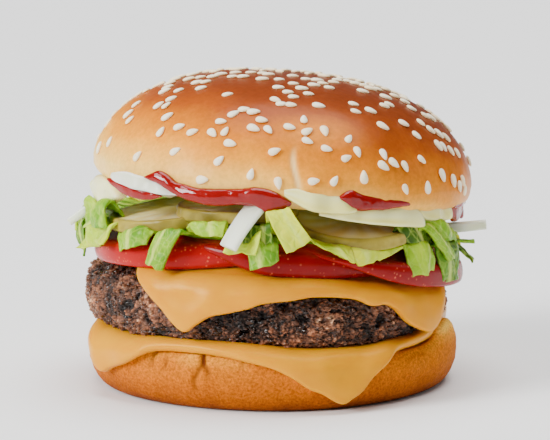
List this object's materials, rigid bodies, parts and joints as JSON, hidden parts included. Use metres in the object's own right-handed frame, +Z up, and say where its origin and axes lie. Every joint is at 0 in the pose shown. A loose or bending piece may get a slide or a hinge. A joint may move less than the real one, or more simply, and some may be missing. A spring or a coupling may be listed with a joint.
{
  "type": "cheeseburger",
  "caption": "Cheeseburger: a sesame bun holding a beef patty between cheese slices, topped with tomato, lettuce, pickle, onion, mayonnaise and ketchup",
  "frame": {"origin": "centre of the flat foot of the bottom bun, on the surface it rests on", "axes": "+Z up through the stack, -Y towards the side seen in the picture, +X to the right as seen from the front"},
  "size_m": [0.1119, 0.1068, 0.0844],
  "materials": {
    "crown": "baked, golden brown above and pale below, soft sheen",
    "heel": "baked, golden tan, matte",
    "patty": "seared minced beef, rough with greasy glints",
    "cheese_upper": "melted processed cheese, smooth, soft gloss",
    "cheese_lower": "melted processed cheese, smooth, soft gloss",
    "tomato_left": "fresh cut, moist skin",
    "tomato_middle": "fresh cut, moist skin",
    "tomato_right": "fresh cut, moist skin",
    "tomato_back": "fresh cut, moist skin",
    "lettuce": "fresh leaf, slightly moist",
    "pickle_left": "brined, moist",
    "pickle_middle": "brined, moist",
    "pickle_right": "brined, moist",
    "pickle_shaded": "brined, moist",
    "pickle_back": "brined, moist",
    "pickle_rear": "brined, moist",
    "onion_strip": "fresh cut, moist",
    "onion_crescent": "fresh cut, moist",
    "onion_petal_front": "fresh cut, moist",
    "onion_petal_middle": "fresh cut, moist",
    "onion_petal_right": "fresh cut, moist",
    "onion_petal_back": "fresh cut, moist",
    "onion_stick_left": "fresh cut, moist",
    "onion_stick_right": "fresh cut, moist",
    "mayonnaise": "smooth, glossy",
    "ketchup": "wet, glossy"
  },
  "bodies": {
    "root": {"crown": "crown", "heel": "heel", "patty": "patty", "cheese_upper": "cheese_upper", "cheese_lower": "cheese_lower", "tomato_left": "tomato_left", "tomato_middle": "tomato_middle", "tomato_right": "tomato_right", "tomato_back": "tomato_back", "lettuce": "lettuce", "pickle_left": "pickle_left", "pickle_middle": "pickle_middle", "pickle_right": "pickle_right", "pickle_shaded": "pickle_shaded", "pickle_back": "pickle_back", "pickle_rear": "pickle_rear", "onion_strip": "onion_strip", "onion_crescent": "onion_crescent", "onion_petal_front": "onion_petal_front", "onion_petal_middle": "onion_petal_middle", "onion_petal_right": "onion_petal_right", "onion_petal_back": "onion_petal_back", "onion_stick_left": "onion_stick_left", "onion_stick_right": "onion_stick_right", "mayonnaise": "mayonnaise", "ketchup": "ketchup"}
  },
  "joints": []
}
